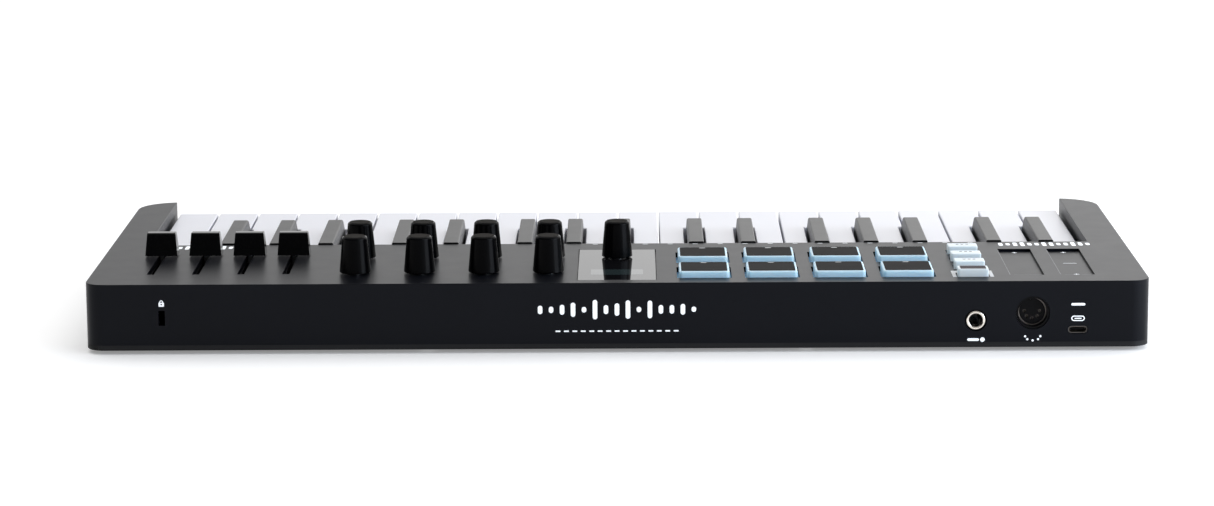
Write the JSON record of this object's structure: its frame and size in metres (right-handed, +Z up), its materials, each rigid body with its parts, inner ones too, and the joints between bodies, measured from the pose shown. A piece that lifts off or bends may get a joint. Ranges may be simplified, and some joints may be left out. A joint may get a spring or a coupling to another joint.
{
  "type": "midi keyboard",
  "caption": "Compact USB keyboard controller: slim sprung keys, drum pads, rotary knobs, faders, push encoder, display and touch strips in a low plastic case.",
  "frame": {"origin": "on the surface that the keyboard stands on, under the middle of its case", "axes": "+Z up; +X towards the player's right (the high notes), along the case; the player sits at -Y and the sockets are on the +Y wall"},
  "size_m": [0.505, 0.22, 0.0521],
  "materials": {
    "case": "matte, fine moulded texture",
    "base": "matte moulded",
    "frame": "matte moulded",
    "circuit_board": "satin solder mask",
    "display_window": "polished",
    "socket_metal": "nickel plated",
    "foot_rubber": "matte",
    "pad_silicone": "translucent satin silicone",
    "button_plastic": "translucent satin",
    "shaft_steel": "turned",
    "knob": "satin",
    "fader_cap": "semi-gloss",
    "white_key": "semi-gloss",
    "black_key": "satin"
  },
  "bodies": {
    "root": {"upper_case": "case", "lower_case": "base", "key_frame": "frame", "main_board": "circuit_board", "display_window": "display_window", "rear_sockets": "socket_metal", "feet_and_screws": "foot_rubber"},
    "drum_pads": {"drum_pads": "pad_silicone"},
    "function_buttons": {"function_buttons": "button_plastic"},
    "main_encoder_plunger": {"main_encoder_plunger": "shaft_steel"},
    "main_encoder_knob": {"main_encoder_knob": "knob"},
    "knob_1": {"knob_1": "knob"},
    "knob_2": {"knob_2": "knob"},
    "knob_3": {"knob_3": "knob"},
    "knob_4": {"knob_4": "knob"},
    "knob_5": {"knob_5": "knob"},
    "knob_6": {"knob_6": "knob"},
    "knob_7": {"knob_7": "knob"},
    "knob_8": {"knob_8": "knob"},
    "fader_cap_1": {"fader_cap_1": "fader_cap"},
    "fader_cap_2": {"fader_cap_2": "fader_cap"},
    "fader_cap_3": {"fader_cap_3": "fader_cap"},
    "fader_cap_4": {"fader_cap_4": "fader_cap"},
    "white_key_01": {"white_key_01": "white_key"},
    "white_key_02": {"white_key_02": "white_key"},
    "white_key_03": {"white_key_03": "white_key"},
    "white_key_04": {"white_key_04": "white_key"},
    "white_key_05": {"white_key_05": "white_key"},
    "white_key_06": {"white_key_06": "white_key"},
    "white_key_07": {"white_key_07": "white_key"},
    "white_key_08": {"white_key_08": "white_key"},
    "white_key_09": {"white_key_09": "white_key"},
    "white_key_10": {"white_key_10": "white_key"},
    "white_key_11": {"white_key_11": "white_key"},
    "white_key_12": {"white_key_12": "white_key"},
    "white_key_13": {"white_key_13": "white_key"},
    "white_key_14": {"white_key_14": "white_key"},
    "white_key_15": {"white_key_15": "white_key"},
    "white_key_16": {"white_key_16": "white_key"},
    "white_key_17": {"white_key_17": "white_key"},
    "white_key_18": {"white_key_18": "white_key"},
    "white_key_19": {"white_key_19": "white_key"},
    "white_key_20": {"white_key_20": "white_key"},
    "white_key_21": {"white_key_21": "white_key"},
    "white_key_22": {"white_key_22": "white_key"},
    "black_key_01": {"black_key_01": "black_key"},
    "black_key_02": {"black_key_02": "black_key"},
    "black_key_03": {"black_key_03": "black_key"},
    "black_key_04": {"black_key_04": "black_key"},
    "black_key_05": {"black_key_05": "black_key"},
    "black_key_06": {"black_key_06": "black_key"},
    "black_key_07": {"black_key_07": "black_key"},
    "black_key_08": {"black_key_08": "black_key"},
    "black_key_09": {"black_key_09": "black_key"},
    "black_key_10": {"black_key_10": "black_key"},
    "black_key_11": {"black_key_11": "black_key"},
    "black_key_12": {"black_key_12": "black_key"},
    "black_key_13": {"black_key_13": "black_key"},
    "black_key_14": {"black_key_14": "black_key"},
    "black_key_15": {"black_key_15": "black_key"}
  },
  "joints": [
    {"name": "main_encoder_push", "type": "slide", "parent": "root", "child": "main_encoder_plunger", "axis": [0, 0, -1], "range_m": [0, 0.0005], "stiffness_N_per_m": 800, "springref_m": -0.0006},
    {"name": "main_encoder_turn", "type": "hinge", "parent": "main_encoder_plunger", "child": "main_encoder_knob", "pos_m": [0, 0.0468, 0.0425], "axis": [0, 0, -1], "continuous": true},
    {"name": "drum_pads_press", "type": "slide", "parent": "root", "child": "drum_pads", "axis": [0, 0, -1], "range_m": [0, 0.0006], "stiffness_N_per_m": 3000, "springref_m": -0.0004},
    {"name": "function_buttons_press", "type": "slide", "parent": "root", "child": "function_buttons", "axis": [0, 0, -1], "range_m": [0, 0.0007], "stiffness_N_per_m": 1200, "springref_m": -0.0008},
    {"name": "fader_1_slide", "type": "slide", "parent": "root", "child": "fader_cap_1", "axis": [0, 1, 0], "range_m": [0, 0.044]},
    {"name": "fader_2_slide", "type": "slide", "parent": "root", "child": "fader_cap_2", "axis": [0, 1, 0], "range_m": [0, 0.044]},
    {"name": "fader_3_slide", "type": "slide", "parent": "root", "child": "fader_cap_3", "axis": [0, 1, 0], "range_m": [0, 0.044]},
    {"name": "fader_4_slide", "type": "slide", "parent": "root", "child": "fader_cap_4", "axis": [0, 1, 0], "range_m": [0, 0.044]},
    {"name": "knob_1_turn", "type": "hinge", "parent": "root", "child": "knob_1", "pos_m": [0.0329, 0.0468, 0.0425], "axis": [0, 0, -1], "continuous": true},
    {"name": "knob_2_turn", "type": "hinge", "parent": "root", "child": "knob_2", "pos_m": [0.0638, 0.0468, 0.0425], "axis": [0, 0, -1], "continuous": true},
    {"name": "knob_3_turn", "type": "hinge", "parent": "root", "child": "knob_3", "pos_m": [0.0947, 0.0468, 0.0425], "axis": [0, 0, -1], "continuous": true},
    {"name": "knob_4_turn", "type": "hinge", "parent": "root", "child": "knob_4", "pos_m": [0.1256, 0.0468, 0.0425], "axis": [0, 0, -1], "continuous": true},
    {"name": "knob_5_turn", "type": "hinge", "parent": "root", "child": "knob_5", "pos_m": [0.0329, 0.0838, 0.0425], "axis": [0, 0, -1], "continuous": true},
    {"name": "knob_6_turn", "type": "hinge", "parent": "root", "child": "knob_6", "pos_m": [0.0638, 0.0838, 0.0425], "axis": [0, 0, -1], "continuous": true},
    {"name": "knob_7_turn", "type": "hinge", "parent": "root", "child": "knob_7", "pos_m": [0.0947, 0.0838, 0.0425], "axis": [0, 0, -1], "continuous": true},
    {"name": "knob_8_turn", "type": "hinge", "parent": "root", "child": "knob_8", "pos_m": [0.1256, 0.0838, 0.0425], "axis": [0, 0, -1], "continuous": true},
    {"name": "white_key_01_press", "type": "hinge", "parent": "root", "child": "white_key_01", "pos_m": [-0.2226, 0.022, 0.02], "axis": [1, 0, 0], "range_deg": [0, 3.2], "stiffness_Nm_per_rad": 0.5, "springref_deg": -4.58},
    {"name": "black_key_01_press", "type": "hinge", "parent": "root", "child": "black_key_01", "pos_m": [-0.2138, 0.022, 0.02], "axis": [1, 0, 0], "range_deg": [0, 3.2], "stiffness_Nm_per_rad": 0.5, "springref_deg": -4.58},
    {"name": "white_key_02_press", "type": "hinge", "parent": "root", "child": "white_key_02", "pos_m": [-0.2014, 0.022, 0.02], "axis": [1, 0, 0], "range_deg": [0, 3.2], "stiffness_Nm_per_rad": 0.5, "springref_deg": -4.58},
    {"name": "black_key_02_press", "type": "hinge", "parent": "root", "child": "black_key_02", "pos_m": [-0.1879, 0.022, 0.02], "axis": [1, 0, 0], "range_deg": [0, 3.2], "stiffness_Nm_per_rad": 0.5, "springref_deg": -4.58},
    {"name": "white_key_03_press", "type": "hinge", "parent": "root", "child": "white_key_03", "pos_m": [-0.1802, 0.022, 0.02], "axis": [1, 0, 0], "range_deg": [0, 3.2], "stiffness_Nm_per_rad": 0.5, "springref_deg": -4.58},
    {"name": "black_key_03_press", "type": "hinge", "parent": "root", "child": "black_key_03", "pos_m": [-0.1511, 0.022, 0.02], "axis": [1, 0, 0], "range_deg": [0, 3.2], "stiffness_Nm_per_rad": 0.5, "springref_deg": -4.58},
    {"name": "white_key_04_press", "type": "hinge", "parent": "root", "child": "white_key_04", "pos_m": [-0.159, 0.022, 0.02], "axis": [1, 0, 0], "range_deg": [0, 3.2], "stiffness_Nm_per_rad": 0.5, "springref_deg": -4.58},
    {"name": "black_key_04_press", "type": "hinge", "parent": "root", "child": "black_key_04", "pos_m": [-0.1267, 0.022, 0.02], "axis": [1, 0, 0], "range_deg": [0, 3.2], "stiffness_Nm_per_rad": 0.5, "springref_deg": -4.58},
    {"name": "white_key_05_press", "type": "hinge", "parent": "root", "child": "white_key_05", "pos_m": [-0.1378, 0.022, 0.02], "axis": [1, 0, 0], "range_deg": [0, 3.2], "stiffness_Nm_per_rad": 0.5, "springref_deg": -4.58},
    {"name": "black_key_05_press", "type": "hinge", "parent": "root", "child": "black_key_05", "pos_m": [-0.1022, 0.022, 0.02], "axis": [1, 0, 0], "range_deg": [0, 3.2], "stiffness_Nm_per_rad": 0.5, "springref_deg": -4.58},
    {"name": "white_key_06_press", "type": "hinge", "parent": "root", "child": "white_key_06", "pos_m": [-0.1166, 0.022, 0.02], "axis": [1, 0, 0], "range_deg": [0, 3.2], "stiffness_Nm_per_rad": 0.5, "springref_deg": -4.58},
    {"name": "black_key_06_press", "type": "hinge", "parent": "root", "child": "black_key_06", "pos_m": [-0.0654, 0.022, 0.02], "axis": [1, 0, 0], "range_deg": [0, 3.2], "stiffness_Nm_per_rad": 0.5, "springref_deg": -4.58},
    {"name": "white_key_07_press", "type": "hinge", "parent": "root", "child": "white_key_07", "pos_m": [-0.0954, 0.022, 0.02], "axis": [1, 0, 0], "range_deg": [0, 3.2], "stiffness_Nm_per_rad": 0.5, "springref_deg": -4.58},
    {"name": "black_key_07_press", "type": "hinge", "parent": "root", "child": "black_key_07", "pos_m": [-0.0395, 0.022, 0.02], "axis": [1, 0, 0], "range_deg": [0, 3.2], "stiffness_Nm_per_rad": 0.5, "springref_deg": -4.58},
    {"name": "white_key_08_press", "type": "hinge", "parent": "root", "child": "white_key_08", "pos_m": [-0.0742, 0.022, 0.02], "axis": [1, 0, 0], "range_deg": [0, 3.2], "stiffness_Nm_per_rad": 0.5, "springref_deg": -4.58},
    {"name": "black_key_08_press", "type": "hinge", "parent": "root", "child": "black_key_08", "pos_m": [-0.0027, 0.022, 0.02], "axis": [1, 0, 0], "range_deg": [0, 3.2], "stiffness_Nm_per_rad": 0.5, "springref_deg": -4.58},
    {"name": "white_key_09_press", "type": "hinge", "parent": "root", "child": "white_key_09", "pos_m": [-0.053, 0.022, 0.02], "axis": [1, 0, 0], "range_deg": [0, 3.2], "stiffness_Nm_per_rad": 0.5, "springref_deg": -4.58},
    {"name": "black_key_09_press", "type": "hinge", "parent": "root", "child": "black_key_09", "pos_m": [0.0217, 0.022, 0.02], "axis": [1, 0, 0], "range_deg": [0, 3.2], "stiffness_Nm_per_rad": 0.5, "springref_deg": -4.58},
    {"name": "white_key_10_press", "type": "hinge", "parent": "root", "child": "white_key_10", "pos_m": [-0.0318, 0.022, 0.02], "axis": [1, 0, 0], "range_deg": [0, 3.2], "stiffness_Nm_per_rad": 0.5, "springref_deg": -4.58},
    {"name": "black_key_10_press", "type": "hinge", "parent": "root", "child": "black_key_10", "pos_m": [0.0462, 0.022, 0.02], "axis": [1, 0, 0], "range_deg": [0, 3.2], "stiffness_Nm_per_rad": 0.5, "springref_deg": -4.58},
    {"name": "white_key_11_press", "type": "hinge", "parent": "root", "child": "white_key_11", "pos_m": [-0.0106, 0.022, 0.02], "axis": [1, 0, 0], "range_deg": [0, 3.2], "stiffness_Nm_per_rad": 0.5, "springref_deg": -4.58},
    {"name": "black_key_11_press", "type": "hinge", "parent": "root", "child": "black_key_11", "pos_m": [0.083, 0.022, 0.02], "axis": [1, 0, 0], "range_deg": [0, 3.2], "stiffness_Nm_per_rad": 0.5, "springref_deg": -4.58},
    {"name": "white_key_12_press", "type": "hinge", "parent": "root", "child": "white_key_12", "pos_m": [0.0106, 0.022, 0.02], "axis": [1, 0, 0], "range_deg": [0, 3.2], "stiffness_Nm_per_rad": 0.5, "springref_deg": -4.58},
    {"name": "black_key_12_press", "type": "hinge", "parent": "root", "child": "black_key_12", "pos_m": [0.1089, 0.022, 0.02], "axis": [1, 0, 0], "range_deg": [0, 3.2], "stiffness_Nm_per_rad": 0.5, "springref_deg": -4.58},
    {"name": "white_key_13_press", "type": "hinge", "parent": "root", "child": "white_key_13", "pos_m": [0.0318, 0.022, 0.02], "axis": [1, 0, 0], "range_deg": [0, 3.2], "stiffness_Nm_per_rad": 0.5, "springref_deg": -4.58},
    {"name": "black_key_13_press", "type": "hinge", "parent": "root", "child": "black_key_13", "pos_m": [0.1457, 0.022, 0.02], "axis": [1, 0, 0], "range_deg": [0, 3.2], "stiffness_Nm_per_rad": 0.5, "springref_deg": -4.58},
    {"name": "white_key_14_press", "type": "hinge", "parent": "root", "child": "white_key_14", "pos_m": [0.053, 0.022, 0.02], "axis": [1, 0, 0], "range_deg": [0, 3.2], "stiffness_Nm_per_rad": 0.5, "springref_deg": -4.58},
    {"name": "black_key_14_press", "type": "hinge", "parent": "root", "child": "black_key_14", "pos_m": [0.1701, 0.022, 0.02], "axis": [1, 0, 0], "range_deg": [0, 3.2], "stiffness_Nm_per_rad": 0.5, "springref_deg": -4.58},
    {"name": "white_key_15_press", "type": "hinge", "parent": "root", "child": "white_key_15", "pos_m": [0.0742, 0.022, 0.02], "axis": [1, 0, 0], "range_deg": [0, 3.2], "stiffness_Nm_per_rad": 0.5, "springref_deg": -4.58},
    {"name": "black_key_15_press", "type": "hinge", "parent": "root", "child": "black_key_15", "pos_m": [0.1946, 0.022, 0.02], "axis": [1, 0, 0], "range_deg": [0, 3.2], "stiffness_Nm_per_rad": 0.5, "springref_deg": -4.58},
    {"name": "white_key_16_press", "type": "hinge", "parent": "root", "child": "white_key_16", "pos_m": [0.0954, 0.022, 0.02], "axis": [1, 0, 0], "range_deg": [0, 3.2], "stiffness_Nm_per_rad": 0.5, "springref_deg": -4.58},
    {"name": "white_key_17_press", "type": "hinge", "parent": "root", "child": "white_key_17", "pos_m": [0.1166, 0.022, 0.02], "axis": [1, 0, 0], "range_deg": [0, 3.2], "stiffness_Nm_per_rad": 0.5, "springref_deg": -4.58},
    {"name": "white_key_18_press", "type": "hinge", "parent": "root", "child": "white_key_18", "pos_m": [0.1378, 0.022, 0.02], "axis": [1, 0, 0], "range_deg": [0, 3.2], "stiffness_Nm_per_rad": 0.5, "springref_deg": -4.58},
    {"name": "white_key_19_press", "type": "hinge", "parent": "root", "child": "white_key_19", "pos_m": [0.159, 0.022, 0.02], "axis": [1, 0, 0], "range_deg": [0, 3.2], "stiffness_Nm_per_rad": 0.5, "springref_deg": -4.58},
    {"name": "white_key_20_press", "type": "hinge", "parent": "root", "child": "white_key_20", "pos_m": [0.1802, 0.022, 0.02], "axis": [1, 0, 0], "range_deg": [0, 3.2], "stiffness_Nm_per_rad": 0.5, "springref_deg": -4.58},
    {"name": "white_key_21_press", "type": "hinge", "parent": "root", "child": "white_key_21", "pos_m": [0.2014, 0.022, 0.02], "axis": [1, 0, 0], "range_deg": [0, 3.2], "stiffness_Nm_per_rad": 0.5, "springref_deg": -4.58},
    {"name": "white_key_22_press", "type": "hinge", "parent": "root", "child": "white_key_22", "pos_m": [0.2226, 0.022, 0.02], "axis": [1, 0, 0], "range_deg": [0, 3.2], "stiffness_Nm_per_rad": 0.5, "springref_deg": -4.58}
  ]
}
